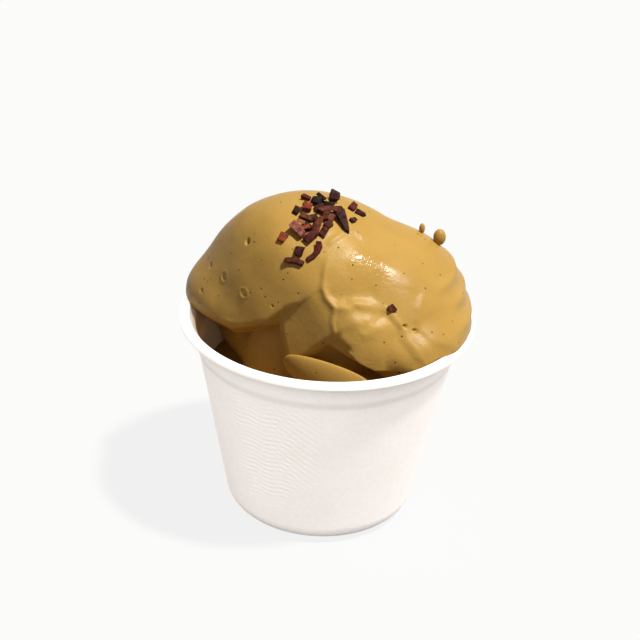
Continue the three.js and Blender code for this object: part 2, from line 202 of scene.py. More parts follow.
# A brown band on the inner wall below the rim, with an uneven upper edge.
inside = ~outside & (cup_z > INNER_BROWN_SPAN[0]) & (cup_z < INNER_BROWN_SPAN[1])
inner_brown_edge = np.full(len(cup_z), INNER_BROWN_HEIGHT)
for height, count, start in INNER_BROWN_WAVES:
    inner_brown_edge += height * np.sin(np.radians(cup_turn) * count + start)
inner_brown = inside / (1 + np.exp(np.clip((cup_z - inner_brown_edge) / INNER_BROWN_SOFT, -50, 50)))
cup.data.attributes.new("inner_brown", "FLOAT", "POINT").data.foreach_set("value", inner_brown)


def new_material(name):
    made = bpy.data.materials.new(name)
    made.use_nodes = True
    nodes = made.node_tree.nodes
    return made, nodes, made.node_tree.links, nodes["Principled BSDF"]


# Noise in the piece's own frame, shared by the three finishes.
surface_grain = bpy.data.node_groups.new("surface_grain", "ShaderNodeTree")
grain_noise = surface_grain.nodes.new("ShaderNodeTexNoise")
grain_inputs = surface_grain.nodes.new("NodeGroupInput")
for name in ("Scale", "Detail", "Roughness"):
    surface_grain.interface.new_socket(name, in_out="INPUT", socket_type="NodeSocketFloat")
    surface_grain.links.new(grain_inputs.outputs[name], grain_noise.inputs[name])
grain_place = surface_grain.nodes.new("ShaderNodeTexCoord")
surface_grain.links.new(grain_place.outputs["Object"], grain_noise.inputs["Vector"])
surface_grain.interface.new_socket("Value", in_out="OUTPUT", socket_type="NodeSocketFloat")
grain_outputs = surface_grain.nodes.new("NodeGroupOutput")
surface_grain.links.new(grain_noise.outputs["Fac"], grain_outputs.inputs["Value"])


def add_grain(nodes, scale, detail, roughness):
    made = nodes.new("ShaderNodeGroup")
    made.node_tree = surface_grain
    made.inputs["Scale"].default_value = scale
    made.inputs["Detail"].default_value = detail
    made.inputs["Roughness"].default_value = roughness
    return made.outputs["Value"]


def colour_ramp(nodes, links, factor, stops):
    ramp = nodes.new("ShaderNodeValToRGB")
    while len(ramp.color_ramp.elements) < len(stops):
        ramp.color_ramp.elements.new(0.5)
    for element, (position, colour) in zip(ramp.color_ramp.elements, stops):
        element.position = position
        element.color = (*colour, 1)
    links.new(factor, ramp.inputs["Fac"])
    return ramp.outputs["Color"]


def scaled(colour, amount):
    return tuple(c * amount for c in colour)


def add_bump(nodes, links, height, shader, strength, distance):
    bump = nodes.new("ShaderNodeBump")
    bump.inputs["Strength"].default_value = strength
    bump.inputs["Distance"].default_value = distance
    links.new(height, bump.inputs["Height"])
    links.new(bump.outputs["Normal"], shader.inputs["Normal"])


pulp, nodes, links, shader = new_material("moulded_pulp")
fibres = add_grain(nodes, *FIBRE_GRAIN)
clouds = add_grain(nodes, *CLOUD_GRAIN)
mix = nodes.new("ShaderNodeMix")
mix.data_type = "RGBA"
mix.blend_type = "MULTIPLY"
mix.inputs["Factor"].default_value = 1.0
fibre_tint = colour_ramp(nodes, links, fibres, [(0.35, scaled(PULP_WHITE, 0.965)), (0.6, PULP_WHITE)])
cloud_tint = colour_ramp(nodes, links, clouds, [(0.3, PULP_CLOUD), (0.7, (1, 1, 1))])
links.new(fibre_tint, mix.inputs["A"])
links.new(cloud_tint, mix.inputs["B"])
inner_brown_attribute = nodes.new("ShaderNodeAttribute")
inner_brown_attribute.attribute_name = "inner_brown"
inner_brown_mix = nodes.new("ShaderNodeMix")
inner_brown_mix.data_type = "RGBA"
links.new(inner_brown_attribute.outputs["Fac"], inner_brown_mix.inputs["Factor"])
links.new(mix.outputs["Result"], inner_brown_mix.inputs["A"])
inner_brown_mix.inputs["B"].default_value = (*INNER_BROWN_COLOUR, 1)
links.new(inner_brown_mix.outputs["Result"], shader.inputs["Base Color"])
fibre_roughness = colour_ramp(nodes, links, fibres, [(0.3, (0.85,) * 3), (0.7, (0.7,) * 3)])
links.new(fibre_roughness, shader.inputs["Roughness"])
add_bump(nodes, links, fibres, shader, *FIBRE_BUMP)
cup.data.materials.append(pulp)
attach(cup, "root")
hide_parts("cup")

# Sorbet: a caramel-brown frozen cream, spread with a flat spade in strokes that fill the cup and stand over
# its rim as a left and a right scoop. It is smooth and wet-looking, with folds where the strokes meet,
# pin-hole pits and bubbles, and fine dark specks. A hollow is left open at the front left.
HEART = np.array([1.0, 1.0, 56.0])
LINE_RADIUS = 34.0
LINE_SOFTNESS = 1.5
FACE_CUTS = 63
FRONT_PULL = np.array([0.0, -0.40, 0.30])
FILL_HEIGHT = 41.0
FILL_ROWS = (8, 20, 32)
FILL_STEPS = 180
ROOM_RADIUS = 70.0
ROOM_LOW = -5.0
ROOM_FLOOR = 30.0
WALL_GAP = 0.15
SORBET_LIGHT = (0.415, 0.252, 0.060)
SORBET_DEEP = (0.365, 0.214, 0.048)
SPECK_BROWN = (0.06, 0.022, 0.008)
SPECK_SCALE = 330
TONE_GRAIN = (60, 4, 0.5)
SKIN_GRAIN = (1500, 3, 0.55)
SKIN_BUMP = (0.3, 0.0002)
GLOSS_GRAIN = (160, 3, 0.5)


def smooth_max(a, b, blend):
    near = np.maximum(blend - np.abs(a - b), 0) / blend
    return np.maximum(a, b) + near * near * blend / 4


def smooth_min(a, b, blend):
    return -smooth_max(-a, -b, blend)


def ellipsoid_exit(directions, centre, half, turn):
    t = math.radians(turn)
    turned = np.array([[math.cos(t), math.sin(t), 0], [-math.sin(t), math.cos(t), 0], [0, 0, 1]])
    start = (turned @ (HEART - np.array(centre))) / np.array(half)
    along = (directions @ turned.T) / np.array(half)
    a = (along * along).sum(1)
    b = along @ start
    c = start @ start - 1
    crossing = b * b - a * c
    return np.where(crossing > 0, (-b + np.sqrt(np.maximum(crossing, 0))) / a, 0)


def plane_exit(directions, normal, point):
    unit = np.array(normal, float)
    unit /= np.linalg.norm(unit)
    offset = unit @ (np.array(point) - HEART)
    slope = directions @ unit
    return np.where(slope > 1e-4, offset / np.maximum(slope, 1e-4), 1e4)


def stroke(directions, centre, half, sides=(), turn=0):
    reach = ellipsoid_exit(directions, centre, half, turn)
    for normal, point, blend in sides:
        reach = smooth_min(reach, plane_exit(directions, normal, point), blend)
    return reach


def angle_directions(azimuth, elevation):
    a, e = np.radians(azimuth), np.radians(elevation)
    return np.stack([np.cos(e) * np.cos(a), np.cos(e) * np.sin(a), np.sin(e)], -1)


def beside_line(directions, line):
    posts = angle_directions(*np.array(line, float).T)
    spans = np.arccos(np.clip((posts[:-1] * posts[1:]).sum(1), -1, 1))
    distances, sides, places = [], [], []
    run = 0.0
    for first, second, span in zip(posts, posts[1:], spans):
        pole = np.cross(first, second)
        pole /= np.linalg.norm(pole)
        ahead = np.cross(pole, first)
        share = np.clip(np.arctan2(directions @ ahead, directions @ first), 0, span)
        near = first * np.cos(share)[:, None] + ahead * np.sin(share)[:, None]
        distances.append(np.arccos(np.clip((directions * near).sum(1), -1, 1)) * LINE_RADIUS)
        sides.append(np.where(directions @ pole >= 0, 1, -1))
        places.append((run + share) / spans.sum())
        run += span
    distances = np.array(distances)
    best = distances.argmin(0)
    every = np.arange(len(directions))
    nearest = distances[best, every]
    weights = np.exp(-(distances - nearest) / LINE_SOFTNESS)
    along = (weights * np.array(places)).sum(0) / weights.sum(0)
    return nearest * np.array(sides)[best, every], along


def ease(value):
    value = np.clip(value, 0, 1)
    return value * value * (3 - 2 * value)


def fade(along, start, end):
    rise = ease(along / start) if start else 1.0
    fall = ease((1 - along) / end) if end else 1.0
    return rise * fall


def ridge(directions, line, height, width, start, end):
    aside, along = beside_line(directions, line)
    return height * np.exp(-((aside / width) ** 2)) * fade(along, start, end)


# A step down on one side of a line: its depth at both ends, how far back it reaches, the softness of its
# edge, and the shares of the line over which it fades in and out.
def drop(directions, line, at_start, at_end, back, blend, start, end):
    aside, along = beside_line(directions, line)
    depth = at_start + (at_end - at_start) * along
    gate = 1 / (1 + np.exp(np.clip(aside / (blend * 0.5), -60, 60)))
    return depth * gate * np.exp(-np.maximum(-aside, 0) / back) * fade(along, start, end)


# Lines across the sorbet as azimuth and elevation about its heart.
CREASE = [(-160, -2), (-133, 15), (-123, 27), (-113, 33), (-105, 38), (-98, 44)]
LEFT_LIP = [(150, 7), (165, 7), (178, 7.5), (-172, 7.5), (-162, 8), (-152, 10)]
CENTRE_RIDGE = [
    (-92, 63), (-96, 60), (-98, 52), (-97, 43), (-94, 39), (-88, 33), (-89, 25), (-86, 15), (-81, 10),
]
LIP = [(-98, 50), (-97, 43), (-94, 39), (-88, 34), (-79, 33), (-75, 35), (-65, 33), (-56, 31)]
GROOVE = [(-96, 39), (-84, 40), (-68, 39), (-55, 38)]
BELLY_LINE = [(-74, 17), (-66, 19), (-60, 22), (-55, 23)]
BELLY_CURL = [(-68, 27), (-67, 22), (-69, 19), (-73, 18)]
BELLY_FOLD = [(-58, 31), (-54, 28), (-53, 24), (-50, 18), (-51, 13), (-49, 6), (-46, 2)]
RIGHT_FOLD = [(-30, 34), (-32, 30), (-39, 25), (-42, 20), (-42, 15), (-40, 10), (-34, 8)]
SWIRL = [(-100, 66), (-88, 71), (-70, 75), (-48, 74), (-44, 68)]
RIGHT_STEPS = [
    [(-28, 27), (-5, 26), (20, 27), (45, 25)],
    [(-24, 18), (-5, 17), (20, 17), (40, 16)],
    [(-30, 9), (-12, 9), (10, 9), (35, 8)],
]
# Raised lines and one groove: height, width, and the shares of the line over which they fade in and out.
RIDGES = [
    (LEFT_LIP, 2.4, 5.5, 0.3, 0.4),
    (CENTRE_RIDGE, 0.35, 1.0, 0.2, 0.2),
    (LIP, 0.55, 1.6, 0.3, 0.35),
    (GROOVE, -0.3, 2.4, 0.2, 0.2),
    (BELLY_FOLD, 0.4, 1.0, 0.2, 0.2),
    (RIGHT_FOLD, 0.25, 1.0, 0.2, 0.2),
    (BELLY_LINE, 0.2, 1.8, 0.2, 0.2),
    (BELLY_CURL, 0.2, 1.4, 0.2, 0.2),
    (SWIRL, 0.35, 0.9, 0.2, 0.2),
    *[(step, 0.6, 1.4, 0.2, 0.2) for step in RIGHT_STEPS],
]
# Flat sides that the spade has left on each mass: normal, a point on the side, and how softly it blends in.
LEFT_SIDES = [
    ((-0.79, -0.61, 0.06), (-29, -8.5, 62), 1.5),
    ((-0.46, -0.46, -0.76), (-30, -8.5, 59.2), 1.5),
    ((-0.80, -0.48, 0.36), (-26.5, -9.3, 68), 8),
    ((-0.33, -0.93, 0.15), (-13, -17.0, 67.5), 8),
    ((0.05, -0.75, 0.66), (3, -11.9, 81.8), 2),
]
RIGHT_SIDES = [
    ((-0.45, -0.25, -0.86), (8, -25.5, 57.5), 1.5),
    ((0, -0.3, -0.95), (14, -26.5, 55.0), 1.5),
    ((0.1, -0.78, 0.62), (10.6, -15.0, 77), 2),
]
LIP_SIDES = [
    ((0.3, -0.3, -0.9), (34, -14, 52.5), 1.5),
    ((0.6, -0.8, 0), (29, -24, 58), 1.5),
]
BELLY_SIDES = [
    ((0.25, -0.25, 0.93), (4, -21.5, 70.3), 2),
    ((-0.52, -0.83, 0.17), (-11.6, -13.1, 67), 2),
    ((-0.45, -0.25, -0.86), (8, -25.5, 57.5), 2),
    ((0, -0.3, -0.95), (14, -26.5, 55.0), 2),
]
MIDDLE_SIDES = [
    ((-0.52, -0.83, 0.17), (-11.6, -14.9, 67), 2.6),
    ((-0.97, -0.1, -0.21), (-12.8, -15.3, 63.4), 2.6),
    ((-0.62, -0.1, -0.78), (-9.2, -20, 52.2), 2.6),
    ((-0.105, -0.845, 0.525), (-1.1, -19, 74), 2.6),
    ((0.35, -0.73, -0.58), (-5, -21.5, 56.0), 3),
]


# Each stroke of the spade leaves a rounded mass: its middle, its half sizes and its flat sides. The two
# scoops blend more softly towards the top.
def sorbet_reach(directions):
    elevation = np.degrees(np.arcsin(np.clip(directions[:, 2], -1, 1)))
    left_scoop = stroke(directions, (-6, 5, 53), (31.9, 30, 36.5), LEFT_SIDES)
    left_scoop = left_scoop - drop(directions, CREASE, 12, 0.8, 60, 0.8, 0, 0.1)
    under_left = stroke(directions, (-8.2, -2, 45), (14, 14, 19))
    right_scoop = stroke(directions, (6.5, 3, 53.6), (33.3, 29.5, 29.4), RIGHT_SIDES, turn=-20)
    right_scoop = right_scoop - drop(directions, CENTRE_RIDGE, 1.5, 6, 60, 1.2, 0.3, 0)
    right_lip = stroke(directions, (22, -4, 57), (16.3, 23, 12), LIP_SIDES)
    belly = stroke(directions, (6.7, -2, 58), (23.4, 24.2, 22), BELLY_SIDES)
    middle = stroke(directions, (0, -2, 56), (28, 26, 24), MIDDLE_SIDES)
    shoulder = stroke(directions, (16, 5, 61), (20.5, 20, 19.9))
    lower = stroke(directions, (8, -3, 38), (27, 32, 15))
    rear = stroke(directions, (4, 14, 47), (34, 27, 12))
    top_blend = 2 + 5 * np.clip((elevation - 30) / 30, 0, 1)
    reach = smooth_max(left_scoop, right_scoop, top_blend)
    low_parts = [(right_lip, 2), (belly, 1.6), (lower, 1), (rear, 3)]
    for mass, blend in [(middle, 1.2), (under_left, 1), (shoulder, 3), *low_parts]:
        reach = smooth_max(reach, mass, blend)
    for line, height, width, start, end in RIDGES:
        reach = reach + ridge(directions, line, height, width, start, end)
    reach = reach - drop(directions, BELLY_FOLD, 0.4, 2.0, 5, 1.8, 0.2, 0.2)
    reach = reach - drop(directions, RIGHT_FOLD, 0.4, 1.0, 6, 1.6, 0.2, 0.2)
    return reach


SEED_SHIFT = (7.1, 3.7, 5.3)
PIT_EDGE = 1.25
PIT_EDGE_WIDTH = 0.35
SKIN_WAVES = ((0.22, 9.0, 1), (0.05, 3.2, 2))
WRINKLE_HEIGHT = 0.02
WRINKLE_SIZE = 1.3
WRINKLE_SQUEEZE = (1, 1, 2.2)
WRINKLE_SEED = 3


def soft_noise(points, size, seed):
    shift = Vector([seed * step for step in SEED_SHIFT])
    return np.array([noise.noise(Vector(p) / size + shift) for p in points])


def dent(directions, azimuth, elevation, radius, depth, rim):
    middle = angle_directions(azimuth, elevation)
    away = np.arccos(np.clip(directions @ middle, -1, 1)) * LINE_RADIUS / radius
    return depth * np.exp(-away ** 4) - rim * np.exp(-((away - PIT_EDGE) / PIT_EDGE_WIDTH) ** 2)


bpy.ops.object.select_all(action="DESELECT")
bpy.ops.mesh.primitive_cube_add(size=2, location=(0, 0, 0))
sorbet = bpy.context.object
sorbet.name = sorbet.data.name = "sorbet_cream"
bpy.ops.object.mode_set(mode="EDIT")
bpy.ops.mesh.select_all(action="SELECT")
bpy.ops.mesh.subdivide(number_cuts=1)
bpy.ops.mesh.subdivide(number_cuts=FACE_CUTS)
bpy.ops.object.mode_set(mode="OBJECT")
ways = np.tan(get_coordinates(sorbet) * math.pi / 4)
ways /= np.linalg.norm(ways, axis=1, keepdims=True)
ways += FRONT_PULL
ways /= np.linalg.norm(ways, axis=1, keepdims=True)
reach = sorbet_reach(ways)
skin = HEART + ways * reach[:, None]
for height, size, seed in SKIN_WAVES:
    reach += height * soft_noise(skin, size, seed)
# The right scoop alone is finely wrinkled, and the wrinkles lie flat.
wrinkled = ease((skin[:, 0] + 6) / 10)
reach += WRINKLE_HEIGHT * wrinkled * soft_noise(skin * WRINKLE_SQUEEZE, WRINKLE_SIZE, WRINKLE_SEED)
# Pin-holes, then two burst bubbles: azimuth, elevation, radius, depth and the height of the raised edge.
PITS = [
    (-167.4, 46.0, 0.75, 1.1, 0.06),
    (-48.9, 18.9, 0.60, 0.8, 0.05),
    (-45.2, 15.9, 0.60, 0.8, 0.05),
    (-132.5, 26.8, 0.45, 0.6, 0.04),
    (-177.2, 11.8, 0.45, 0.6, 0.04),
    (176.3, 21.7, 0.45, 0.6, 0.04),
    (-169.4, 25.1, 1.10, 0.22, 0.16),
    (-152.3, 25.5, 1.10, 0.22, 0.16),
]
for azimuth, elevation, radius, depth, rim in PITS:
    reach -= dent(ways, azimuth, elevation, radius, depth, rim)
set_points(sorbet, HEART + ways * reach[:, None])


def join_shapes(piece, other, operation):
    bpy.ops.object.select_all(action="DESELECT")
    piece.select_set(True)
    bpy.context.view_layer.objects.active = piece
    cut = piece.modifiers.new("join", "BOOLEAN")
    cut.operation = operation
    cut.solver = "MANIFOLD"
    cut.object = other
    bpy.ops.object.modifier_apply(modifier=cut.name)
    bpy.data.objects.remove(other)


BALL_SIDES = 48
BALL_RINGS = 96


def unit_ball(name):
    bpy.ops.object.select_all(action="DESELECT")
    bpy.ops.mesh.primitive_uv_sphere_add(segments=BALL_SIDES, ring_count=BALL_RINGS, radius=1)
    piece = bpy.context.object
    piece.name = piece.data.name = name
    return piece


# A thin leaf of sorbet that sweeps along the front of the hollow, then two small knobs at the top right.
RIBBON_PATH = np.array([(-11.0, -17.5, 52.5), (-3.0, -25.6, 52.0), (13.0, -34.5, 54.0)])
RIBBON_HALF = (1.3, 4.3)
RIBBON_LEAN = 0.4
ribbon = unit_ball("ribbon")
ball = get_coordinates(ribbon)
t = (ball[:, 2:] + 1) / 2
centre = (1 - t) ** 2 * RIBBON_PATH[0] + 2 * t * (1 - t) * RIBBON_PATH[1] + t ** 2 * RIBBON_PATH[2]
ahead = (1 - t) * (RIBBON_PATH[1] - RIBBON_PATH[0]) + t * (RIBBON_PATH[2] - RIBBON_PATH[1])
aside = np.stack([ahead[:, 1], -ahead[:, 0], np.zeros(len(ahead))], 1)
aside /= np.linalg.norm(aside, axis=1, keepdims=True)
rise = ball[:, 1:2] * RIBBON_HALF[1]
centre += aside * (ball[:, :1] * RIBBON_HALF[0] - RIBBON_LEAN * t * rise)
centre[:, 2:] += rise
set_points(ribbon, centre)
bpy.ops.object.mode_set(mode="EDIT")
bpy.ops.mesh.select_all(action="SELECT")
bpy.ops.mesh.normals_make_consistent(inside=False)
bpy.ops.object.mode_set(mode="OBJECT")
join_shapes(sorbet, ribbon, "UNION")
KNOBS = [((29.4, 8.4, 78.2), (1.7, 1.6, 2.3)), ((24.6, 10.0, 79.8), (0.8, 0.8, 1.5))]
for place, half in KNOBS:
    knob = unit_ball("knob")
    set_points(knob, np.array(place) + get_coordinates(knob) * np.array(half))
    join_shapes(sorbet, knob, "UNION")

# What fills the cup, and the room of the cup itself that is cut away from the scoops.
fill_low = WALL_THICK + WALL_GAP
fill_profile = [(0.0, fill_low), (BASE_FLAT, fill_low)]
fill_profile += corner_points(BASE_CORNER - WALL_THICK, fill_low, -fill_low)
fill_profile += [(wall_radius(z) - fill_low, z) for z in (*FILL_ROWS, FILL_HEIGHT - 0.6)]
fill_profile += [(wall_radius(FILL_HEIGHT) - WALL_THICK - 0.8, FILL_HEIGHT), (0.0, FILL_HEIGHT)]
fill = turn_profile("cup_filling", fill_profile, FILL_STEPS)
room_profile = [(0.0, ROOM_LOW), (ROOM_RADIUS, ROOM_LOW), (ROOM_RADIUS, CUP_HEIGHT + WALL_GAP)]
room_profile += [(RIM_ROUND[0], CUP_HEIGHT + WALL_GAP)]
room_profile += arc_points(RIM_ROUND, RIM_ROUND_RADIUS + WALL_GAP, 100, 165, 5)
room_profile += [(RIM_FOOT[0] - WALL_GAP, RIM_FOOT[1])]
room_profile += wall_points(WALL_TOP + 1.2, LEDGE_HEIGHT + INNER_LEDGE_HALF, 4, LEDGE_STEP - fill_low)
room_profile += wall_points(LEDGE_HEIGHT - INNER_LEDGE_HALF, ROOM_FLOOR, 4, -fill_low)
room_profile += [(0.0, ROOM_FLOOR)]
room = turn_profile("cup_room", room_profile, FILL_STEPS)
join_shapes(sorbet, room, "DIFFERENCE")
join_shapes(sorbet, fill, "UNION")
bpy.ops.object.shade_smooth()

WET_MIDDLE = (0.0105, -0.0135, 0.0785)
WET_RADII = (0.004, 0.009)
DRY_ROUGHNESS = 0.24
cream, nodes, links, shader = new_material("sorbet_cream")
tone = add_grain(nodes, *TONE_GRAIN)
base = colour_ramp(nodes, links, tone, [(0.3, SORBET_DEEP), (0.7, SORBET_LIGHT)])
place = nodes.new("ShaderNodeTexCoord")
specks = nodes.new("ShaderNodeTexVoronoi")
specks.inputs["Scale"].default_value = SPECK_SCALE
links.new(place.outputs["Object"], specks.inputs["Vector"])
speck_mask = colour_ramp(nodes, links, specks.outputs["Distance"], [(0.06, (1, 1, 1)), (0.10, (0, 0, 0))])
speck_mix = nodes.new("ShaderNodeMix")
speck_mix.data_type = "RGBA"
links.new(speck_mask, speck_mix.inputs["Factor"])
links.new(base, speck_mix.inputs["A"])
speck_mix.inputs["B"].default_value = (*SPECK_BROWN, 1)
links.new(speck_mix.outputs["Result"], shader.inputs["Base Color"])
grain = add_grain(nodes, *SKIN_GRAIN)
gloss = add_grain(nodes, *GLOSS_GRAIN)
wet_reach = nodes.new("ShaderNodeVectorMath")
wet_reach.operation = "DISTANCE"
wet_reach.inputs[1].default_value = WET_MIDDLE
links.new(place.outputs["Object"], wet_reach.inputs[0])
dryness = nodes.new("ShaderNodeMapRange")
dryness.interpolation_type = "SMOOTHSTEP"
dryness.inputs["From Min"].default_value = WET_RADII[0]
dryness.inputs["From Max"].default_value = WET_RADII[1]
dryness.inputs["To Max"].default_value = DRY_ROUGHNESS
links.new(wet_reach.outputs["Value"], dryness.inputs["Value"])
dull = nodes.new("ShaderNodeMath")
dull.operation = "ADD"
wet_roughness = colour_ramp(nodes, links, gloss, [(0.3, (0.11,) * 3), (0.7, (0.20,) * 3)])
links.new(wet_roughness, dull.inputs[0])
links.new(dryness.outputs["Result"], dull.inputs[1])
links.new(dull.outputs["Value"], shader.inputs["Roughness"])
add_bump(nodes, links, grain, shader, *SKIN_BUMP)
shader.inputs["IOR"].default_value = 1.33
shader.inputs["Specular IOR Level"].default_value = 0.28
shader.inputs["Subsurface Weight"].default_value = 0.15
shader.inputs["Subsurface Radius"].default_value = (1.0, 0.5, 0.2)
shader.inputs["Subsurface Scale"].default_value = 0.0012
sorbet.data.materials.clear()
sorbet.data.materials.append(cream)
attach(sorbet, "root")
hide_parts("sorbet")

# Cacao nibs: broken bits of roasted cocoa bean, flat and angular, strewn over the top of the left scoop in
# a heap that trails down its front. They range from dark red-brown to nearly black, and some show a paler
# broken face.
NIB_SEED = 11
NIB_JITTER = 0.18
NIB_TAPER = (0.5, 1.0)
NIB_BEVEL = 0.09
NIB_LEAN = 0.45
NIB_SEAT = 0.5
NIB_RISE = 0.3
NIB_THICKNESS = 0.7
LOW_LIFT = 1.0
NIB_SHADES = (0.85, 1.15)
NIB_EDGE_ANGLE = 28
NORMAL_REACH = 0.8
STREAK_GRAIN = (900, 5, 0.6)
STREAK_BUMP = (0.5, 0.0002)
# Largest first, then the low ones under the heap: x, y, length, width, turn in the front view, lift above
# the sorbet, bend in degrees and tone.
NIBS = [
    (2.9, -4, 7.2, 2.7, -76, 1.0, 10, "dark"),
    (-0.6, -0.8, 6.8, 2.0, 4, 1.6, 80, "brown"),
    (-3.9, -12.3, 6.8, 1.8, 62, 0.5, -85, "mid"),
    (-3.7, -6.8, 6.0, 2.4, 76, 1.5, 0, "brown"),
    (-9.1, -13.7, 5.3, 2.0, -8, 0.6, 45, "mid"),
    (-8.6, -7.9, 5.0, 2.4, -45, 1.2, 10, "pink"),
    (-5.2, -9.1, 4.5, 2.4, 47, 0.9, 0, "mid"),
    (-7.3, -7.5, 3.8, 1.4, 15, 1.3, 15, "red"),
    (-6.8, -4.3, 3.8, 1.8, -25, 1.2, 0, "brown"),
    (-4.1, 2.1, 3.6, 2.7, -10, 1.2, 0, "black"),
    (0.3, 6.2, 3.3, 2.9, 80, 1.6, 0, "dark"),
    (-3.1, 3.6, 3.3, 1.2, -55, 2.2, 0, "black"),
    (7.5, 2.7, 3.2, 1.5, -20, 0.6, 0, "dark"),
    (-1.9, -3.2, 3.1, 2.0, 70, 1.2, 0, "mid"),
    (-6.6, -0.6, 3.0, 2.4, -15, 1.4, 0, "red"),
    (-12.4, -9.3, 3.0, 2.2, 60, 0.6, 0, "red"),
    (-7, 4.2, 2.8, 1.5, -20, 1.0, 0, "mid"),
    (-8, -12.2, 2.8, 2.7, 80, 0.6, 0, "dark"),
    (-9.3, -1.8, 2.7, 2.1, 62, 0.8, 0, "dark"),
    (-0.3, -3.4, 2.7, 2.0, 62, 1.0, 0, "brown"),
    (-0.6, -5.5, 2.7, 2.1, 40, 0.7, 0, "mid"),
    (5.4, 4.6, 2.6, 2.4, 50, 0.8, 0, "mid"),
    (-7.8, -6, 2.4, 1.1, -25, 1.5, 0, "pink"),
    (16.6, -19.2, 2.2, 2.1, 30, 0.4, 0, "mid"),
    (5.6, -1.5, 2.0, 1.6, 40, 0.5, 0, "dark"),
    (-5, -4.3, 3.2, 2.6, 30, 0.4, 0, "dark"),
    (-2, -7.9, 3.0, 2.2, 60, 0.4, 0, "mid"),
    (-6.4, -7.1, 3.2, 2.4, -30, 0.4, 0, "dark"),
    (-3.4, -0.5, 3.4, 2.6, 10, 0.5, 0, "dark"),
    (-1.2, 1.9, 3.2, 2.4, -40, 0.6, 0, "black"),
    (1.4, 1.1, 3.0, 2.2, 30, 0.5, 0, "dark"),
]
NIB_TONES = {
    "red": (0.165, 0.030, 0.013),
    "pink": (0.225, 0.070, 0.038),
    "brown": (0.095, 0.025, 0.013),
    "mid": (0.066, 0.013, 0.007),
    "dark": (0.034, 0.0085, 0.0055),
    "black": (0.009, 0.003, 0.0022),
}
# The upward and the backward direction of the front view.
VIEW_RISE = np.array([0.0, 0.47, 0.88])
VIEW_BACK = np.array([0.0, -0.88, 0.47])


def surface_at(x, y):
    _, place, _, _ = sorbet.ray_cast(Vector((x, y, 2 * CUP_HEIGHT)) * MM, Vector((0, 0, -1)))
    return np.array(place) / MM


def surface_normal(x, y):
    across = surface_at(x + NORMAL_REACH, y) - surface_at(x - NORMAL_REACH, y)
    inward = surface_at(x, y + NORMAL_REACH) - surface_at(x, y - NORMAL_REACH)
    normal = np.cross(across, inward)
    return normal / np.linalg.norm(normal)


# Each nib is a cube with tapered ends and shaken corners, bevelled, bent where it curls, and laid on the
# sorbet with a lean towards the front view.
draw = np.random.default_rng(NIB_SEED)
nib_pieces = []
for x, y, length, width, turn, lift, bend, tone_name in NIBS:
    bpy.ops.object.select_all(action="DESELECT")
    bpy.ops.mesh.primitive_cube_add(size=1, location=(0, 0, 0))
    nib = bpy.context.object
    chip = get_coordinates(nib)
    ends = draw.uniform(*NIB_TAPER, 2)
    chip[:, 1:] *= np.where(chip[:, :1] > 0, ends[0], ends[1])
    chip += draw.uniform(-NIB_JITTER, NIB_JITTER, (8, 3))
    set_points(nib, chip / MM)
    bpy.ops.object.mode_set(mode="EDIT")
    bpy.ops.mesh.select_all(action="SELECT")
    bpy.ops.mesh.bevel(offset=NIB_BEVEL, segments=2, affect="EDGES")
    bpy.ops.mesh.subdivide(number_cuts=2)
    bpy.ops.object.mode_set(mode="OBJECT")
    chip = get_coordinates(nib)
    chip -= (chip.max(0) + chip.min(0)) / 2
    chip /= chip.max(0) - chip.min(0)
    top = lift + width * NIB_RISE
    height = top + NIB_SEAT if lift < LOW_LIFT else width * NIB_THICKNESS
    chip = chip * (length, width, height)
    if bend:
        radius = length / math.radians(bend)
        turned = chip[:, 0] / radius
        out = radius + chip[:, 1]
        chip[:, 0] = out * np.sin(turned)
        chip[:, 1] = out * np.cos(turned) - radius
        chip[:, 1] -= (chip[:, 1].max() + chip[:, 1].min()) / 2
    chip[:, 2] += top - height / 2
    normal = (1 - NIB_LEAN) * surface_normal(x, y) + NIB_LEAN * VIEW_BACK
    normal /= np.linalg.norm(normal)
    angle = math.radians(turn)
    heading = np.array([math.cos(angle), 0, 0]) + VIEW_RISE * math.sin(angle)
    heading -= normal * (heading @ normal)
    heading /= np.linalg.norm(heading)
    sideways = np.cross(normal, heading)
    chip = surface_at(x, y) + chip @ np.stack([heading, sideways, normal])
    set_points(nib, chip)
    shade = nib.data.color_attributes.new("nib_tone", "FLOAT_COLOR", "POINT")
    colour = np.array(NIB_TONES[tone_name]) * draw.uniform(*NIB_SHADES, 3)
    shade.data.foreach_set("color", np.tile([*colour, 1.0], len(chip)))
    nib_pieces.append(nib)
bpy.ops.object.select_all(action="DESELECT")
for nib in nib_pieces:
    nib.select_set(True)
bpy.context.view_layer.objects.active = nib_pieces[0]
bpy.ops.object.join()
nibs = bpy.context.object
nibs.name = nibs.data.name = "cacao_nibs"
bpy.ops.object.shade_smooth_by_angle(angle=math.radians(NIB_EDGE_ANGLE))

cacao, nodes, links, shader = new_material("roasted_cacao")
tone = nodes.new("ShaderNodeAttribute")
tone.attribute_name = "nib_tone"
streaks = add_grain(nodes, *STREAK_GRAIN)
streak_mix = nodes.new("ShaderNodeMix")
streak_mix.data_type = "RGBA"
streak_mix.blend_type = "MULTIPLY"
streak_mix.inputs["Factor"].default_value = 1.0
links.new(tone.outputs["Color"], streak_mix.inputs["A"])
streak_tint = colour_ramp(nodes, links, streaks, [(0.32, (0.35,) * 3), (0.68, (1.6,) * 3)])
links.new(streak_tint, streak_mix.inputs["B"])
links.new(streak_mix.outputs["Result"], shader.inputs["Base Color"])
streak_roughness = colour_ramp(nodes, links, streaks, [(0.3, (0.8,) * 3), (0.7, (0.6,) * 3)])
links.new(streak_roughness, shader.inputs["Roughness"])
shader.inputs["Specular IOR Level"].default_value = 0.12
add_bump(nodes, links, streaks, shader, *STREAK_BUMP)
nibs.data.materials.append(cacao)
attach(nibs, "root")
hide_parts("sorbet")

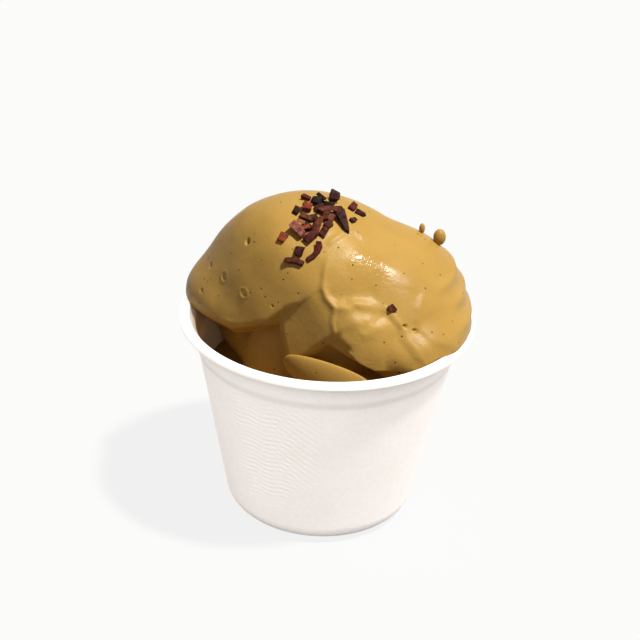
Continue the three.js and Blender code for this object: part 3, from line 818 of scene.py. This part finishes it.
# Floor, light and camera: a plain pale floor, a soft key light from the upper right, a pale surround, three
# wide fill lights that brighten the white cup alone, and a camera that looks down on the cup from the front.
FLOOR_SIZE = 6
FLOOR_GREY = (0.06, 0.06, 0.06)
FLOOR_SEEN = 0.86
FLOOR_DIM = 0.16
bpy.ops.object.select_all(action="DESELECT")
bpy.ops.mesh.primitive_plane_add(size=FLOOR_SIZE, location=(0, 0, 0))
floor = bpy.context.object
floor.name = floor.data.name = "pale_floor"
pale, nodes, links, shader = new_material("pale_floor")
shader.inputs["Base Color"].default_value = (*FLOOR_GREY, 1)
shader.inputs["Roughness"].default_value = 0.9
shader.inputs["Specular IOR Level"].default_value = 0.0
shader.inputs["Emission Color"].default_value = (1, 1, 1, 1)


def dim_for_diffuse(nodes, links, seen, dim):
    path = nodes.new("ShaderNodeLightPath")
    choose = nodes.new("ShaderNodeMapRange")
    choose.inputs["To Min"].default_value = seen
    choose.inputs["To Max"].default_value = dim
    links.new(path.outputs["Is Diffuse Ray"], choose.inputs["Value"])
    return choose.outputs["Result"]


links.new(dim_for_diffuse(nodes, links, FLOOR_SEEN, FLOOR_DIM), shader.inputs["Emission Strength"])
pale.cycles.emission_sampling = "NONE"
floor.data.materials.append(pale)

KEY_AZIMUTH = -24.6
KEY_ELEVATION = 65.3
KEY_ENERGY = 5.5
KEY_SPREAD = 5
KEY_COLOUR = (1.0, 0.99, 0.95)
CUP_KEY_ENERGY = 2.4
CUP_FILLS = ((-110, 3.3), (10, 3.4), (130, 2.5))
FILL_ELEVATION = 30
FILL_SPREAD = 70
FILL_COLOUR = (1.0, 0.955, 0.925)


def add_sun(name, azimuth, elevation, energy, spread, colour):
    light = bpy.data.lights.new(name, "SUN")
    light.energy = energy
    light.angle = math.radians(spread)
    light.color = colour
    made = bpy.data.objects.new(name, light)
    bpy.context.scene.collection.objects.link(made)
    made.rotation_euler = Vector(angle_directions(azimuth, elevation)).to_track_quat("Z", "Y").to_euler()
    return made


key_light = add_sun("key_light", KEY_AZIMUTH, KEY_ELEVATION, KEY_ENERGY, KEY_SPREAD, KEY_COLOUR)
lit_serving = bpy.data.collections.new("lit_by_key")
for piece in (sorbet, nibs, floor):
    lit_serving.objects.link(piece)
key_light.light_linking.receiver_collection = lit_serving
lit_cup = bpy.data.collections.new("lit_by_fill")
lit_cup.objects.link(cup)
cup_lights = [add_sun("cup_key", KEY_AZIMUTH, KEY_ELEVATION, CUP_KEY_ENERGY, KEY_SPREAD, KEY_COLOUR)]
for azimuth, energy in CUP_FILLS:
    fill_name = f"cup_fill_{azimuth % 360}"
    cup_lights.append(add_sun(fill_name, azimuth, FILL_ELEVATION, energy, FILL_SPREAD, FILL_COLOUR))
for cup_light in cup_lights:
    cup_light.light_linking.receiver_collection = lit_cup
for cup_light in cup_lights[1:]:
    cup_light.data.cycles.max_bounces = 0

SKY_COLOUR = (1, 0.86, 0.74)
SKY_SEEN = 0.7
SKY_DIM = 0.24
surround = bpy.data.worlds.new("pale_surround")
surround.use_nodes = True
nodes, links = surround.node_tree.nodes, surround.node_tree.links
nodes["Background"].inputs["Color"].default_value = (*SKY_COLOUR, 1)
links.new(dim_for_diffuse(nodes, links, SKY_SEEN, SKY_DIM), nodes["Background"].inputs["Strength"])
surround.cycles.sampling_method = "NONE"
bpy.context.scene.world = surround

VIEW_ELEVATION = 27.84
VIEW_ROLL = 2.66
VIEW_DISTANCE = 500.0
VIEW_AIM = np.array([-1.81, 0.0, 55.67])
VIEW_LENS = 103.53
SENSOR_WIDTH = 36
NEAR_CLIP = 0.01
tilt = math.radians(VIEW_ELEVATION)
back = np.array([0, -math.cos(tilt), math.sin(tilt)])
right = np.array([1.0, 0, 0])
rise = np.cross(back, right)
camera = bpy.data.cameras.new("front_view")
camera.sensor_width = SENSOR_WIDTH
camera.lens = VIEW_LENS
camera.clip_start = NEAR_CLIP
camera_object = bpy.data.objects.new("front_view", camera)
bpy.context.scene.collection.objects.link(camera_object)
turned_view = Matrix((right, rise, back)).transposed() @ Matrix.Rotation(math.radians(VIEW_ROLL), 3, "Z")
placed_view = turned_view.to_4x4()
placed_view.translation = Vector((VIEW_AIM + back * VIEW_DISTANCE) * MM)
camera_object.matrix_world = placed_view
bpy.context.scene.camera = camera_object
bpy.context.scene.view_settings.view_transform = "Standard"
